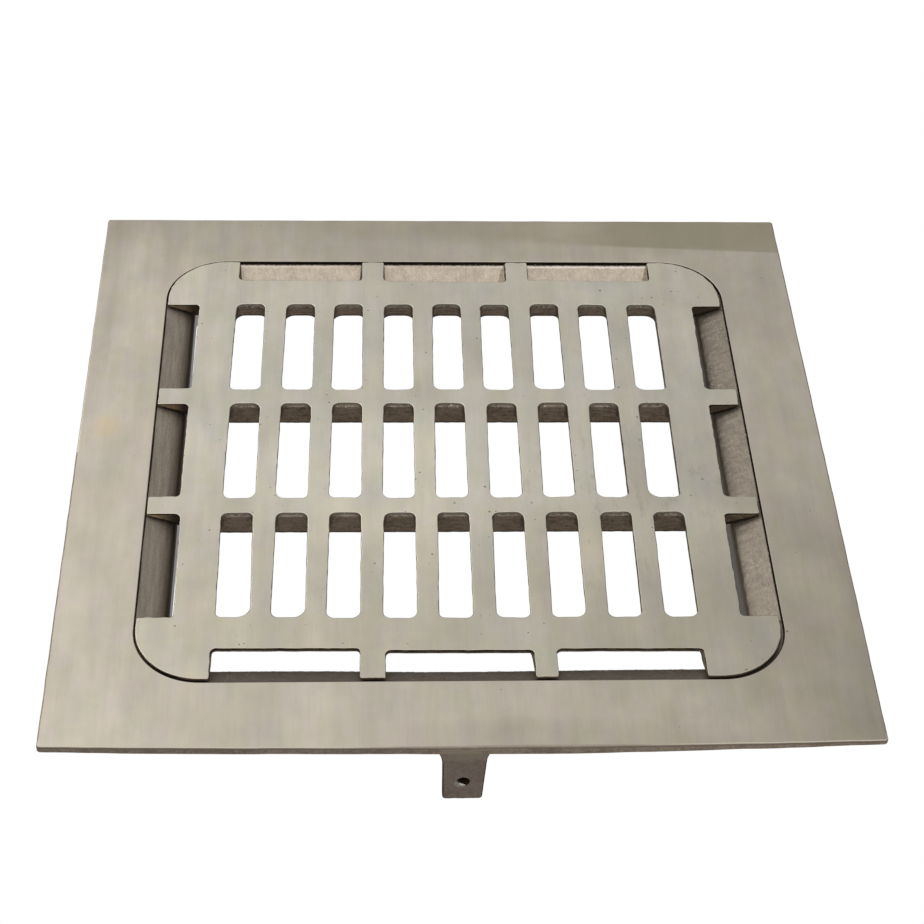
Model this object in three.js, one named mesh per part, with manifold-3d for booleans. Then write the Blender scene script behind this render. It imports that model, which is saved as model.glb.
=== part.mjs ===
// Square floor drain: a cast frame with four anchor lugs, and the slotted grate that drops into it.
// Millimetres, +Z up, +X to the right, -Y to the front.
// The origin is the middle of the drain's box, at the level of the lugs' feet.

import * as THREE from 'three';
import { mergeVertices } from 'three/addons/utils/BufferGeometryUtils.js';
import Module from 'manifold-3d';

// ---- Driving dimensions -------------------------------------------------------------------

const topZ = 30;                // finished floor level, measured from the lugs' feet

const frame = {
  width: 300,                   // X
  depth: 301,                   // Y, at the middle of the bowed front edge
  frontBow: 1.7,                // how far the middle of the front edge stands ahead of its ends
  cornerRadius: 1.5,
  flangeThickness: 4,
};

const opening = {
  half: 120.3,                  // half the width of the square hole in the flange
  cornerRadius: 25.5,
  centreY: 0.5,                 // the hole is centred on the flange without its bow
  land: 1.3,                    // straight wall below the top face
};

const seat = {
  slope: 0.44,                  // drop per millimetre towards the middle
  throatHalf: 108.5,
  lipRun: 1.5,                  // the eased edge between the slope and the throat
  lipDrop: 1.65,
  skirtHalf: 113,               // outside of the straight skirt
  haunchDrop: 5.4,              // height of the slope between the flange and the skirt
  skirtBottomZ: 12,
};

const lug = {
  thickness: 5,
  rootWidth: 17.5,              // where it runs into the flange
  neckWidth: 15.4,
  footWidth: 13.6,
  filletHeight: 3.5,
  footRadius: 1,
  edgeInset: 0.1,               // the lug's face stands this far behind the flange's edge
  holeRadius: 2.6,
  holeZ: 9.4,
};

const grate = {
  half: 119.3,
  cornerRadius: 24.4,
  thickness: 6.5,
  shiftX: -0.3,                 // where the loose grate has slid to in the frame
  shiftY: 0.6,
  seatClearance: 0.3,           // smallest height between the grate's slope and the seat
  rows: 3,
  columns: 9,
  rowPitch: 63,
  columnPitch: 21,
  slotLength: 54.4,
  slotWidth: 12.3,
  slotRadius: 2.75,
  notchLength: 53.3,
  notchRadius: 2.5,
  rimHalf: 106.4,               // outside of the rim, at the foot of the notches
  rimWall: 1.8,                 // straight part of the rim's outside, above its undercut
};

const rib = {
  width: 8.6,
  depth: 4.6,                   // below the underside of the grate
  topHalf: 105.5,
  endSlope: 1,
};

const arcSteps = 8;             // straight steps in each quarter of a large corner
const smallArcSteps = 3;
const holeArcSteps = 10;        // straight steps in each half of a lug's hole
const overcut = 1;              // how far a cutting solid runs past the face that it cuts

// ---- Solids -------------------------------------------------------------------------------

const wasm = await Module();
wasm.setup();

function toSolid(geometry) {
  const bare = geometry.clone();
  bare.deleteAttribute('normal');
  bare.deleteAttribute('uv');
  const merged = mergeVertices(bare, 1e-4);
  return new wasm.Manifold(new wasm.Mesh({
    numProp: 3,
    vertProperties: new Float32Array(merged.attributes.position.array),
    triVerts: new Uint32Array(merged.index.array),
  }));
}

function toGeometry(solid) {
  const mesh = solid.getMesh();
  const geometry = new THREE.BufferGeometry();
  geometry.setAttribute('position', new THREE.BufferAttribute(new Float32Array(mesh.vertProperties), 3));
  geometry.setIndex(new THREE.BufferAttribute(new Uint32Array(mesh.triVerts), 1));
  geometry.computeVertexNormals();
  return geometry;
}

function united(solids) {
  return solids.reduce((whole, next) => whole.add(next));
}

// A rectangle with round corners, centred on a point.
function roundedRectangle(halfX, halfY, radius, centreX = 0, centreY = 0) {
  const shape = new THREE.Shape();
  const arcX = halfX - radius;
  const arcY = halfY - radius;
  const corners = [[1, 1], [-1, 1], [-1, -1], [1, -1]];
  corners.forEach(([sideX, sideY], quarter) => {
    const start = quarter * Math.PI / 2;
    shape.absarc(centreX + sideX * arcX, centreY + sideY * arcY, radius, start, start + Math.PI / 2, false);
  });
  shape.closePath();
  return shape;
}

// An upright prism of a shape between two heights.
function prism(shape, lowZ, highZ, curveSegments = arcSteps) {
  const geometry = new THREE.ExtrudeGeometry(shape, {
    depth: highZ - lowZ,
    bevelEnabled: false,
    curveSegments,
  });
  geometry.translate(0, 0, lowZ);
  return toSolid(geometry);
}

// A round-cornered square prism whose foot narrows by `inset` between breakZ and lowZ.
function funnel(half, radius, lowZ, breakZ, highZ, inset) {
  const drop = breakZ - lowZ;
  const geometry = new THREE.ExtrudeGeometry(roundedRectangle(half, half, radius), {
    depth: highZ - breakZ + drop,
    bevelEnabled: true,
    bevelThickness: drop,
    bevelSize: inset,
    bevelOffset: -inset,
    bevelSegments: 1,
    curveSegments: arcSteps,
  });
  geometry.translate(0, 0, breakZ);
  const keep = new THREE.BoxGeometry(4 * half, 4 * half, highZ - lowZ);
  keep.translate(0, 0, (highZ + lowZ) / 2);
  return toSolid(geometry).intersect(toSolid(keep));
}

// ---- Frame --------------------------------------------------------------------------------

const flangeBottomZ = topZ - frame.flangeThickness;
const seatTopZ = topZ - opening.land;
const lipZ = seatTopZ - seat.slope * (opening.half - seat.throatHalf - seat.lipRun);

// Corner radius of the outline that lies `half` from the middle, concentric with the opening.
function radiusAt(half) {
  return opening.cornerRadius - opening.half + half;
}

// The space inside the frame: the opening, its sloping seat, the eased lip and the throat.
function frameSpace() {
  const lipHalf = seat.throatHalf + seat.lipRun;
  const slope = funnel(opening.half, opening.cornerRadius, lipZ, seatTopZ, topZ + overcut,
    opening.half - lipHalf);
  const lip = funnel(lipHalf, radiusAt(lipHalf), lipZ - seat.lipDrop, lipZ, lipZ + overcut, seat.lipRun);
  const throat = prism(roundedRectangle(seat.throatHalf, seat.throatHalf, radiusAt(seat.throatHalf)),
    seat.skirtBottomZ - overcut, lipZ);
  return united([slope, lip, throat]).translate([0, opening.centreY, 0]);
}

// The flange's outline: square, with a front edge that bows gently outwards.
function flangeOutline() {
  const halfX = frame.width / 2;
  const halfY = frame.depth / 2;
  const cornerY = -halfY + frame.frontBow;
  const r = frame.cornerRadius;
  const outline = new THREE.Shape();
  outline.moveTo(halfX, cornerY + r);
  outline.lineTo(halfX, halfY - r);
  outline.quadraticCurveTo(halfX, halfY, halfX - r, halfY);
  outline.lineTo(-halfX + r, halfY);
  outline.quadraticCurveTo(-halfX, halfY, -halfX, halfY - r);
  outline.lineTo(-halfX, cornerY + r);
  outline.quadraticCurveTo(-halfX, cornerY, -halfX + r, cornerY);
  // A quadratic curve reaches half as far out as its control point.
  outline.quadraticCurveTo(0, cornerY - 2 * frame.frontBow, halfX - r, cornerY);
  outline.quadraticCurveTo(halfX, cornerY, halfX, cornerY + r);
  return outline;
}

// The flange is a plate with a straight-walled hole. The seat ring fills the foot of that hole.
function flangePlate() {
  const outline = flangeOutline();
  outline.holes.push(roundedRectangle(opening.half, opening.half, opening.cornerRadius, 0, opening.centreY));
  return prism(outline, flangeBottomZ, topZ);
}

// The ring's rim stands in the flange's hole up to the foot of the land, and its outside slopes
// in below the flange to a straight skirt.
function seatRing() {
  const haunch = funnel(opening.half, opening.cornerRadius, flangeBottomZ - seat.haunchDrop,
    flangeBottomZ, seatTopZ, opening.half - seat.skirtHalf);
  const skirt = prism(roundedRectangle(seat.skirtHalf, seat.skirtHalf, radiusAt(seat.skirtHalf)),
    seat.skirtBottomZ, flangeBottomZ);
  return haunch.add(skirt).translate([0, opening.centreY, 0]).subtract(frameSpace());
}

// A lug that hangs from the flange: its face in the XZ plane, its thickness behind it along +Y.
function anchorLug() {
  const neckZ = flangeBottomZ - lug.filletHeight;
  const outline = new THREE.Shape();
  outline.moveTo(-lug.footWidth / 2 + lug.footRadius, 0);
  outline.lineTo(lug.footWidth / 2 - lug.footRadius, 0);
  outline.quadraticCurveTo(lug.footWidth / 2, 0, lug.footWidth / 2, lug.footRadius);
  outline.lineTo(lug.neckWidth / 2, neckZ);
  outline.quadraticCurveTo(lug.neckWidth / 2, flangeBottomZ, lug.rootWidth / 2, flangeBottomZ);
  outline.lineTo(-lug.rootWidth / 2, flangeBottomZ);
  outline.quadraticCurveTo(-lug.neckWidth / 2, flangeBottomZ, -lug.neckWidth / 2, neckZ);
  outline.lineTo(-lug.footWidth / 2, lug.footRadius);
  outline.quadraticCurveTo(-lug.footWidth / 2, 0, -lug.footWidth / 2 + lug.footRadius, 0);
  const hole = new THREE.Path();
  hole.absarc(0, lug.holeZ, lug.holeRadius, 0, 2 * Math.PI, true);
  outline.holes.push(hole);
  const geometry = new THREE.ExtrudeGeometry(outline, {
    depth: lug.thickness,
    bevelEnabled: false,
    curveSegments: holeArcSteps,
  });
  geometry.rotateX(Math.PI / 2);
  geometry.translate(0, lug.thickness, 0);
  return toSolid(geometry);
}

// ---- Grate --------------------------------------------------------------------------------

const grateBottomZ = topZ - grate.thickness;

// The grate's slope starts where it clears the seat in the corner that it has slid towards.
function grateSlopeTopZ() {
  const slideTowardsCorner = (Math.abs(grate.shiftX) + Math.abs(grate.shiftY)) / Math.SQRT2;
  const sideGap = opening.half - grate.half - slideTowardsCorner;
  return seatTopZ - seat.slope * sideGap + grate.seatClearance;
}

function slots() {
  const list = [];
  for (let row = 0; row < grate.rows; row += 1) {
    for (let column = 0; column < grate.columns; column += 1) {
      const x = (column - (grate.columns - 1) / 2) * grate.columnPitch;
      const y = (row - (grate.rows - 1) / 2) * grate.rowPitch;
      const slot = roundedRectangle(grate.slotWidth / 2, grate.slotLength / 2, grate.slotRadius, x, y);
      list.push(prism(slot, grateBottomZ - overcut, topZ + overcut, smallArcSteps));
    }
  }
  return list;
}

// One notch in the +X side: open to the outside, with the rim undercut below its straight wall.
function notch(alongY) {
  const outside = grate.half + overcut + grate.notchRadius;
  const halfX = (outside - grate.rimHalf) / 2;
  const outline = roundedRectangle(halfX, grate.notchLength / 2, grate.notchRadius,
    grate.rimHalf + halfX, alongY);
  const well = prism(outline, grateBottomZ - overcut, topZ + overcut, smallArcSteps);
  const undercutTopZ = topZ - grate.rimWall;
  const lowZ = grateBottomZ - overcut;
  const section = new THREE.Shape();
  section.moveTo(grate.rimHalf, undercutTopZ);
  section.lineTo(grate.rimHalf - (undercutTopZ - lowZ), lowZ);
  section.lineTo(grate.rimHalf + overcut, lowZ);
  section.lineTo(grate.rimHalf + overcut, undercutTopZ);
  section.closePath();
  const straight = grate.notchLength - 2 * grate.notchRadius;
  const undercut = new THREE.ExtrudeGeometry(section, { depth: straight, bevelEnabled: false });
  undercut.rotateX(Math.PI / 2);
  undercut.translate(0, alongY + straight / 2, 0);
  return well.add(toSolid(undercut));
}

function notches() {
  const list = [];
  for (let side = 0; side < 4; side += 1) {
    for (let place = -1; place <= 1; place += 1) {
      list.push(notch(place * grate.rowPitch).rotate([0, 0, side * 90]));
    }
  }
  return list;
}

function gratePlate() {
  const slopeTopZ = grateSlopeTopZ();
  const inset = (slopeTopZ - grateBottomZ) / seat.slope;
  const blank = funnel(grate.half, grate.cornerRadius, grateBottomZ, slopeTopZ, topZ, inset);
  return blank.subtract(united([...slots(), ...notches()]));
}

// A rib under the bar between two rows of slots, its ends sloping up to the rim.
function crossRib() {
  const bottomZ = grateBottomZ - rib.depth;
  const footHalf = rib.topHalf - rib.depth / rib.endSlope;
  const side = new THREE.Shape();
  side.moveTo(-footHalf, bottomZ);
  side.lineTo(footHalf, bottomZ);
  side.lineTo(rib.topHalf, grateBottomZ);
  side.lineTo(-rib.topHalf, grateBottomZ);
  side.closePath();
  const geometry = new THREE.ExtrudeGeometry(side, { depth: rib.width, bevelEnabled: false });
  geometry.rotateX(Math.PI / 2);
  geometry.translate(0, rib.width / 2, 0);
  return toSolid(geometry);
}

// ---- Assembly -----------------------------------------------------------------------------

const materials = {
  flange: { color: 0xbbb5a5, roughness: 0.38, metalness: 1 },
  seat: { color: 0x9c8f86, roughness: 0.75, metalness: 1 },
  lug: { color: 0x766a60, roughness: 0.6, metalness: 1 },
  grate: { color: 0xb6b5ab, roughness: 0.36, metalness: 1 },
  rib: { color: 0x6f655a, roughness: 0.7, metalness: 1 },
};

function part(name, solid, look) {
  const mesh = new THREE.Mesh(toGeometry(solid), new THREE.MeshStandardMaterial(materials[look]));
  mesh.name = name;
  return mesh;
}

const drain = new THREE.Group();
drain.add(part('flange_plate', flangePlate(), 'flange'));
drain.add(part('seat_ring', seatRing(), 'seat'));

// The front lug's face stands just behind the middle of the flange's edge; the others are turned.
const lugPlaces = [
  { name: 'anchor_lug_front', turn: 0, reach: frame.depth / 2 },
  { name: 'anchor_lug_right', turn: 1, reach: frame.width / 2 },
  { name: 'anchor_lug_rear', turn: 2, reach: frame.depth / 2 },
  { name: 'anchor_lug_left', turn: 3, reach: frame.width / 2 },
];
for (const place of lugPlaces) {
  const side = new THREE.Group();
  const mesh = part(place.name, anchorLug(), 'lug');
  mesh.position.y = -place.reach + lug.edgeInset;
  side.rotation.z = place.turn * Math.PI / 2;
  side.add(mesh);
  drain.add(side);
}

const liftOut = new THREE.Group();
liftOut.position.set(grate.shiftX, opening.centreY + grate.shiftY, 0);
liftOut.add(part('grate_plate', gratePlate(), 'grate'));
const ribPlaces = { grate_rib_front: -0.5, grate_rib_rear: 0.5 };
for (const [name, rowsAway] of Object.entries(ribPlaces)) {
  const mesh = part(name, crossRib(), 'rib');
  mesh.position.y = rowsAway * grate.rowPitch;
  liftOut.add(mesh);
}
drain.add(liftOut);

export default drain;
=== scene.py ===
"""Looks of a square floor drain: a brushed flange, a sand-cast seat, four lugs and a loose grate.

Lengths in this file are millimetres until a mesh is built, where they become metres. Only the
floor and the softbox are set in metres.
+X is to the right, -Y to the front and +Z up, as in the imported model.
"""

import math

import bpy
import numpy as np
from mathutils import Euler, Matrix, Vector
from mathutils.geometry import delaunay_2d_cdt


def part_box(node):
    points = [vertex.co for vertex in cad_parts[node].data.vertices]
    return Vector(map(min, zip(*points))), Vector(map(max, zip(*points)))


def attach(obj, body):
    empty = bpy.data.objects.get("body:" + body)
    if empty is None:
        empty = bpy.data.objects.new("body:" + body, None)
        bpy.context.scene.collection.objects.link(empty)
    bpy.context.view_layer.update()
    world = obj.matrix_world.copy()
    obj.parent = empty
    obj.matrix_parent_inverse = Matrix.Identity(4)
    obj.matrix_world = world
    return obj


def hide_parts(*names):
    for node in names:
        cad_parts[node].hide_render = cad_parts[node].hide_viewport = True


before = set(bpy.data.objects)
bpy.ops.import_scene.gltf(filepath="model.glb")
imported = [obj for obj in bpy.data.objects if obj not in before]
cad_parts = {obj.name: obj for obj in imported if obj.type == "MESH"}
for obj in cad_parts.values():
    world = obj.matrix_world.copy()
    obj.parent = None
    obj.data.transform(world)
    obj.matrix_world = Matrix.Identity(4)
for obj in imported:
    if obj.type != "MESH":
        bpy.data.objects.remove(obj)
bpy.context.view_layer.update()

MM = 0.001
random = np.random.default_rng(11)


# ---- What the frame says ------------------------------------------------------------------

class Box:
    """A CAD node's box in millimetres."""

    def __init__(self, node):
        low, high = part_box(node)
        self.low = np.array(low) / MM
        self.high = np.array(high) / MM
        self.middle = (self.low + self.high) / 2
        self.size = self.high - self.low


FLANGE = Box("flange_plate")
SEAT = Box("seat_ring")
GRATE = Box("grate_plate")
RIBS = {name: Box(name) for name in ("grate_rib_front", "grate_rib_rear")}
RIB_FOOT = RIBS["grate_rib_front"].low[2]
LUGS = {side: Box("anchor_lug_" + side) for side in ("front", "right", "rear", "left")}

TOP = FLANGE.high[2]
OPENING_HALF = SEAT.size[0] / 2
OPENING_Y = SEAT.middle[1]
OPENING_RADIUS = 25.5
LAND_FOOT = SEAT.high[2]
SKIRT_FOOT = SEAT.low[2]
SEAT_SLOPE = 0.44
THROAT_HALF = 108.5
THROAT_DRAFT = 0.08      # the throat widens downwards, but less at the sides
LIP_RADIUS = 2.5
SKIRT_HALF = 113.0
HAUNCH_FOOT = FLANGE.low[2] - 5.4
FRONT_BOW = 1.7
ARRIS_ROLLED_X = 20      # above the front lug, where the front arris is rolled over most

GRATE_HALF = GRATE.size[0] / 2
GRATE_RADIUS = 24.5
GRATE_X, GRATE_Y = GRATE.middle[:2]
GRATE_FOOT = GRATE.low[2]
SLOT_PITCH = 21.0
ROW_PITCH = 63.0
SLOT_WIDTH = 12.3
SLOT_LENGTH = 54.4
NOTCH_LENGTH = 53.3
RIM_HALF = 106.4
RIM_WALL = 1.8
NOTCHES_HALF = ROW_PITCH + NOTCH_LENGTH / 2 + 2      # past the ends of a side's notches
TAB_EDGE = 1.05          # thickness of the grate's tabs at their outer ends
CAST_TWIST = 0.0065      # the cast pattern is turned this much, in radians, inside its outline


# ---- Smooth random fields -----------------------------------------------------------------

class Field:
    """A smooth random field of about unit size: a sum of plane waves of one rough length."""

    def __init__(self, length, stretch=(1, 1, 1), waves=24):
        turn = random.normal(size=(waves, 3))
        turn /= np.linalg.norm(turn, axis=1)[:, None]
        size = 2 * math.pi / (length * random.uniform(0.7, 1.5, waves))
        self.k = turn * size[:, None] / np.array(stretch)
        self.phase = random.uniform(0, 2 * math.pi, waves)
        self.gain = math.sqrt(2 / waves)

    def __call__(self, points):
        points = np.asarray(points, float)
        if points.shape[1] == 2:
            points = np.column_stack([points, np.zeros(len(points))])
        return np.sin(points @ self.k.T + self.phase).sum(axis=1) * self.gain


def smoothstep(low, high, value):
    t = np.clip((value - low) / (high - low), 0, 1)
    return t * t * (3 - 2 * t)


# ---- Outlines -----------------------------------------------------------------------------

QUARTERS = np.array([(1, 1), (-1, 1), (-1, -1), (1, -1)])


def around(angle):
    """Places on the unit circle."""
    return np.stack([np.cos(angle), np.sin(angle)], axis=-1)


def joined(arcs, counts):
    """A closed outline of arcs and of the straight runs between them, cut into these counts."""
    outline = []
    for arc, after, count in zip(arcs, arcs[1:] + arcs[:1], counts):
        outline += [arc, arc[-1] + (after[0] - arc[-1]) * (np.arange(1, count) / count)[:, None]]
    return np.concatenate(outline)


def rounded_outline(corners, step):
    """Closed outline through corners (x, y, radius), anticlockwise, with a point about every step."""
    corners = np.array(corners, float)
    points, radii = corners[:, :2], corners[:, 2]
    forward = np.roll(points, -1, axis=0) - points
    forward /= np.linalg.norm(forward, axis=1)[:, None]
    arcs = []
    for point, before, after, radius in zip(points, np.roll(forward, 1, axis=0), forward, radii):
        turn = math.atan2(before[0] * after[1] - before[1] * after[0], before @ after)
        start = point - before * (radius * math.tan(abs(turn) / 2))
        centre = start + math.copysign(radius, turn) * np.array([-before[1], before[0]])
        pieces = max(3, math.ceil(abs(turn) * radius / step), math.ceil(abs(turn) / (math.pi / 14)))
        angle = math.atan2(*(start - centre)[::-1]) + np.linspace(0, turn, pieces + 1)
        arcs.append(centre + radius * around(angle))
    gaps = [np.linalg.norm(after[0] - arc[-1]) for arc, after in zip(arcs, arcs[1:] + arcs[:1])]
    return joined(arcs, [max(1, round(gap / step)) for gap in gaps])


def rectangle(half_x, low_y, high_y, radius, step):
    """Outline of a round-cornered rectangle."""
    corners = [(half_x, high_y), (-half_x, high_y), (-half_x, low_y), (half_x, low_y)]
    return rounded_outline([(*corner, radius) for corner in corners], step)


def fixed_outline(half_x, half_y, radii, arc, counts):
    """A rectangle with a radius for each corner, and the same counts of points at any size."""
    arcs = []
    for quarter, (side, radius) in enumerate(zip(QUARTERS, radii)):
        angle = quarter * math.pi / 2 + np.linspace(0, math.pi / 2, arc + 1)
        arcs.append(side * (half_x - radius, half_y - radius) + radius * around(angle))
    return joined(arcs, counts)


def square_ring(half, radius):
    """A round-cornered square, whose rings of any size match."""
    return fixed_outline(half, half, [radius] * 4, 30, [210] * 4)


def outward(points):
    """Outward normals of a closed anticlockwise outline, lengthened at corners as a mitre is."""
    before = points - np.roll(points, 1, axis=0)
    after = np.roll(points, -1, axis=0) - points
    before /= np.linalg.norm(before, axis=1)[:, None]
    after /= np.linalg.norm(after, axis=1)[:, None]
    tangent = before + after
    tangent /= np.linalg.norm(tangent, axis=1)[:, None]
    stretch = 1 / np.clip((tangent * before).sum(axis=1), 0.5, 1)
    return np.column_stack([tangent[:, 1], -tangent[:, 0]]) * stretch[:, None]


def inside(points, outline):
    """Even-odd test of points against a closed outline."""
    found = np.zeros(len(points), bool)
    near = ((points > outline.min(axis=0)) & (points < outline.max(axis=0))).all(axis=1)
    px, py = points[near].T[:, :, None]
    (ax, ay), (bx, by) = outline.T, np.roll(outline, -1, axis=0).T
    crosses = (ay > py) != (by > py)
    with np.errstate(divide="ignore", invalid="ignore"):
        where = ax + (py - ay) * (bx - ax) / (by - ay)
    found[near] = (crosses & (px < where)).sum(axis=1) % 2 == 1
    return found


def distance_to(points, outline):
    """Distance from each point to the nearest stretch of a closed outline."""
    a = outline
    d = np.roll(outline, -1, axis=0) - a
    squared = (d * d).sum(axis=1)
    best = np.full(len(points), np.inf)
    for first in range(0, len(points), 400):
        p = points[first:first + 400, None, :] - a[None]
        t = np.clip((p * d).sum(axis=2) / squared, 0, 1)
        gap = p - t[..., None] * d
        best[first:first + 400] = np.sqrt((gap * gap).sum(axis=2).min(axis=1))
    return best


# ---- Mesh building ------------------------------------------------------------------------

EDGE_ANGLES = np.radians([0, 30, 60, 90])


def add_thing(name, data):
    """A new object in the scene."""
    thing = bpy.data.objects.new(name, data)
    bpy.context.scene.collection.objects.link(thing)
    return thing


class Solid:
    """Collects rings, strips and caps of a closed solid, each face with a material number."""

    def __init__(self):
        self.points = []
        self.total = 0
        self.faces = []
        self.looks = []
        self.smooth = []

    def add_points(self, points):
        first = self.total
        self.points.append(np.asarray(points, float))
        self.total += len(points)
        return np.arange(first, self.total)

    def ring(self, flat, z):
        return self.add_points(np.column_stack([flat, np.broadcast_to(z, len(flat))]))

    def flat(self, ring):
        return np.concatenate(self.points)[ring][:, :2]

    def eased_top(self, flat, out, size):
        """Rings of an eased top edge above a wall; out points away from the material."""
        size = np.broadcast_to(size, len(flat))
        return [self.ring(flat - out * (size * (1 - math.sin(angle)))[:, None],
                          TOP - size * (1 - math.cos(angle))) for angle in EDGE_ANGLES]

    def eased_foot(self, flat, out, size, height):
        """Rings of an eased edge below a wall, whose foot is at height, a function of place."""
        size = np.broadcast_to(size, len(flat))
        rings = []
        for angle in EDGE_ANGLES[1:]:
            place = flat - out * (size * (1 - math.cos(angle)))[:, None]
            rings.append(self.ring(place, height(place) + size * (1 - math.sin(angle))))
        return rings

    def strip(self, upper, lower, look=0):
        """Faces between two rings that run anticlockwise; they face outwards if upper is above.

        look is one material number, or one for each face.
        """
        next_upper, next_lower = np.roll(upper, -1), np.roll(lower, -1)
        self.faces += np.column_stack([upper, lower, next_lower, next_upper]).tolist()
        self.looks += np.broadcast_to(look, len(upper)).tolist()
        self.smooth += [True] * len(upper)

    def wall(self, rings, look=0, hole=False):
        """Strips from ring to ring, downwards, that face outwards or else into a hole."""
        for upper, lower in zip(rings, rings[1:]):
            self.strip(*((lower, upper) if hole else (upper, lower)), look)

    def cap(self, outer, holes, up, look=0, inner=()):
        """Fills the space between one ring and the rings of its holes with triangles.

        A cap with inner points, (x, y, z), is smooth.
        """
        loops = [outer, *holes]
        numbers = np.concatenate(loops)
        flat = self.flat(numbers)
        edges = []
        for loop in loops:
            here = len(edges) + np.arange(len(loop))
            edges += np.column_stack([here, np.roll(here, -1)]).tolist()
        if len(inner):
            numbers = np.concatenate([numbers, self.add_points(inner)])
            flat = np.concatenate([flat, inner[:, :2]])
        made = delaunay_2d_cdt([Vector(p) for p in flat], edges, [], 1, 1e-6)
        source = np.array([ids[0] if ids else -1 for ids in made[3]])
        triangles = source[np.array(made[2])]
        middles = flat[triangles].mean(axis=1)
        keep = inside(middles, self.flat(outer))
        for hole in holes:
            keep &= ~inside(middles, self.flat(hole))
        triangles = triangles[keep]
        a, b, c = (flat[triangles[:, i]] for i in range(3))
        area = (b[:, 0] - a[:, 0]) * (c[:, 1] - a[:, 1]) - (b[:, 1] - a[:, 1]) * (c[:, 0] - a[:, 0])
        wrong = (area > 0) != up
        triangles[wrong] = triangles[wrong][:, ::-1]
        self.faces += numbers[triangles].tolist()
        self.looks += [look] * len(triangles)
        self.smooth += [len(inner) > 0] * len(triangles)

    def rough_cap(self, outer, holes, up, look, extent, spacing, gap, height):
        """A cap with scattered inner points, whose z is given by height.

        The points fill the box round extent, and stay gap away from every ring.
        """
        loops = [self.flat(loop) for loop in (outer, *holes)]
        points = spread(extent.min(axis=0), extent.max(axis=0), spacing)
        points = points[inside(points, loops[0])]
        for loop in loops[1:]:
            points = points[~inside(points, loop)]
        points = clear_of(points, loops, gap)
        self.cap(outer, holes, up, look, np.column_stack([points, height(points)]))

    def build(self, name, materials, place=None):
        points = np.concatenate(self.points)
        if place is not None:
            points = place(points)
        mesh = bpy.data.meshes.new(name)
        mesh.from_pydata((points * MM).tolist(), [], self.faces)
        mesh.polygons.foreach_set("material_index", self.looks)
        mesh.polygons.foreach_set("use_smooth", self.smooth)
        mesh.update()
        for material in materials:
            mesh.materials.append(material)
        return add_thing(name, mesh)


def spread(low, high, spacing):
    """A jittered triangular grid of points over a rectangle."""
    columns = np.arange(low[0], high[0], spacing)
    rows = np.arange(low[1], high[1], spacing * 0.87)
    x, y = np.meshgrid(columns, rows)
    x = x + (np.arange(len(rows)) % 2)[:, None] * spacing / 2
    points = np.column_stack([x.ravel(), y.ravel()])
    return points + random.uniform(-0.15, 0.15, points.shape) * spacing


def clear_of(points, outlines, gap):
    """The points that lie further than gap from every outline."""
    for outline in outlines:
        low, high = outline.min(axis=0) - gap, outline.max(axis=0) + gap
        near = ((points > low) & (points < high)).all(axis=1)
        close = np.zeros(len(points), bool)
        close[near] = distance_to(points[near], outline) < gap
        points = points[~close]
    return points


# ---- Materials ----------------------------------------------------------------------------

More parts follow.
